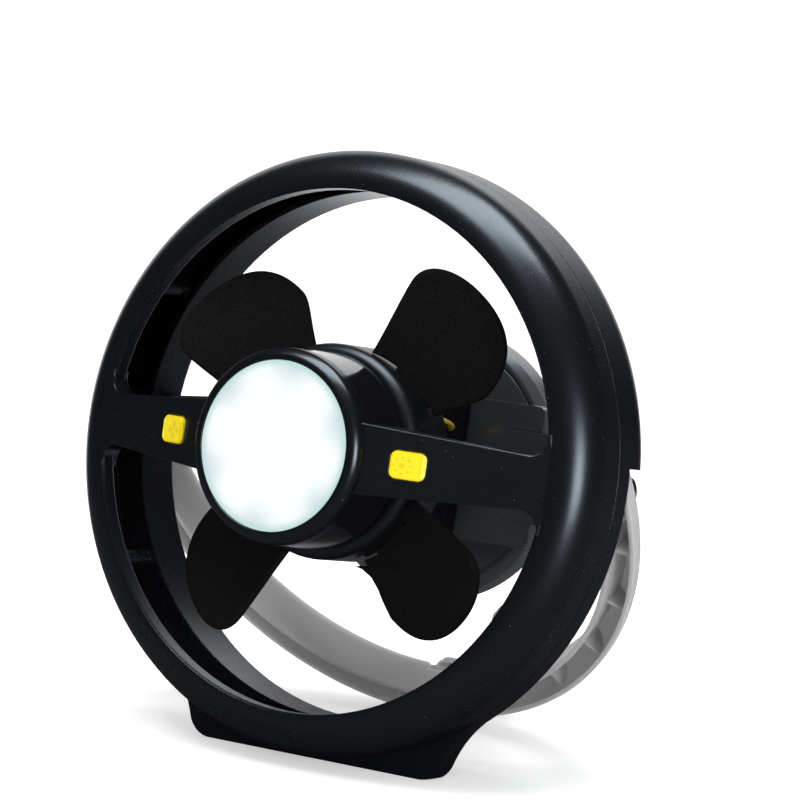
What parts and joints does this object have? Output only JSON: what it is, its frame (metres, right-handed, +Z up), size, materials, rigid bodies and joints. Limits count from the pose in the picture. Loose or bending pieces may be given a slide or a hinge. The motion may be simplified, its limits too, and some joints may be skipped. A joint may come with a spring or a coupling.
{
  "type": "portable camping fan",
  "caption": "Round camping fan with a front lamp on a sloping cross bar, soft foam blades, a rear battery pod and a folding half-ring stand.",
  "frame": {"origin": "middle of the sole of the foot, on the floor", "axes": "+Z up, -Y towards the viewer in front of the lamp, +X to the viewer's right; the ring leans back by 12.99 degrees about X"},
  "size_m": [0.2168, 0.1358, 0.2147],
  "materials": {
    "black_plastic": "satin blue-black moulded shell",
    "hub_plastic": "satin black moulded hub",
    "pod_plastic": "glossy dark grey moulded shell",
    "blade_foam": "soft matt black foam blade",
    "yellow_plastic": "glossy yellow button",
    "milky_lens": "milky white diffusing plastic, lit from behind",
    "white_plastic": "white moulded plastic",
    "led_yellow": "phosphor yellow",
    "board_green": "green board",
    "dark_parts": "dark grey",
    "steel": "plain steel",
    "copper": "copper winding",
    "bronze": "sintered bronze",
    "lead_yellow": "yellow insulation",
    "grey_plastic": "mid-grey moulded plastic"
  },
  "bodies": {
    "fan_body": {"front_shell": "black_plastic", "rear_shell": "black_plastic", "rear_arm_left": "pod_plastic", "rear_arm_right": "pod_plastic", "ring_screws": "steel", "lamp_housing": "black_plastic", "lamp_back": "black_plastic", "bezel": "black_plastic", "lens": "milky_lens", "reflector": "white_plastic", "led_board": "white_plastic", "leds": "led_yellow", "arm_cover_left": "black_plastic", "arm_cover_right": "black_plastic", "switch_boards": "board_green", "switches": "dark_parts", "motor_can": "steel", "motor_end_cap": "dark_parts", "motor_magnets": "dark_parts", "motor_bushes": "bronze", "motor_cradle": "black_plastic", "motor_leads": "lead_yellow", "pod_front": "pod_plastic", "pod_back": "pod_plastic", "pod_screws": "steel", "battery_cells": "dark_parts", "contact_plates": "steel", "pivot_pins": "steel"},
    "rotor": {"rotor_hub": "hub_plastic", "blade_1": "blade_foam", "blade_2": "blade_foam", "blade_3": "blade_foam", "blade_4": "blade_foam", "motor_shaft": "steel", "motor_armature": "copper"},
    "fan_button_body": {"fan_button": "yellow_plastic"},
    "light_button_body": {"light_button": "yellow_plastic"},
    "door": {"battery_door": "pod_plastic"},
    "stand_body": {"stand": "grey_plastic", "hook_pin": "steel"},
    "hook_body": {"hook": "grey_plastic"}
  },
  "joints": [
    {"name": "rotor_spin", "type": "hinge", "parent": "fan_body", "child": "rotor", "pos_m": [0, 0.01162, 0.10915], "axis": [0, -0.9744, 0.2247], "continuous": true},
    {"name": "fan_button_press", "type": "slide", "parent": "fan_body", "child": "fan_button_body", "axis": [0.3989, 0.8936, -0.2061], "range_m": [0, 0.001], "stiffness_N_per_m": 900, "springref_m": -0.0005},
    {"name": "light_button_press", "type": "slide", "parent": "fan_body", "child": "light_button_body", "axis": [-0.3989, 0.8936, -0.2061], "range_m": [0, 0.001], "stiffness_N_per_m": 900, "springref_m": -0.0005},
    {"name": "stand_fold", "type": "hinge", "parent": "fan_body", "child": "stand_body", "pos_m": [0, 0.03755, 0.10317], "axis": [-1, 0, 0], "range_deg": [0, 36.2]},
    {"name": "battery_door_slide", "type": "slide", "parent": "fan_body", "child": "door", "axis": [0, -0.2247, -0.9744], "range_m": [0, 0.008]},
    {"name": "hook_fold", "type": "hinge", "parent": "stand_body", "child": "hook_body", "pos_m": [0.006, 0.08518, 0.0124], "axis": [-1, 0, 0], "range_deg": [0, 100]}
  ]
}
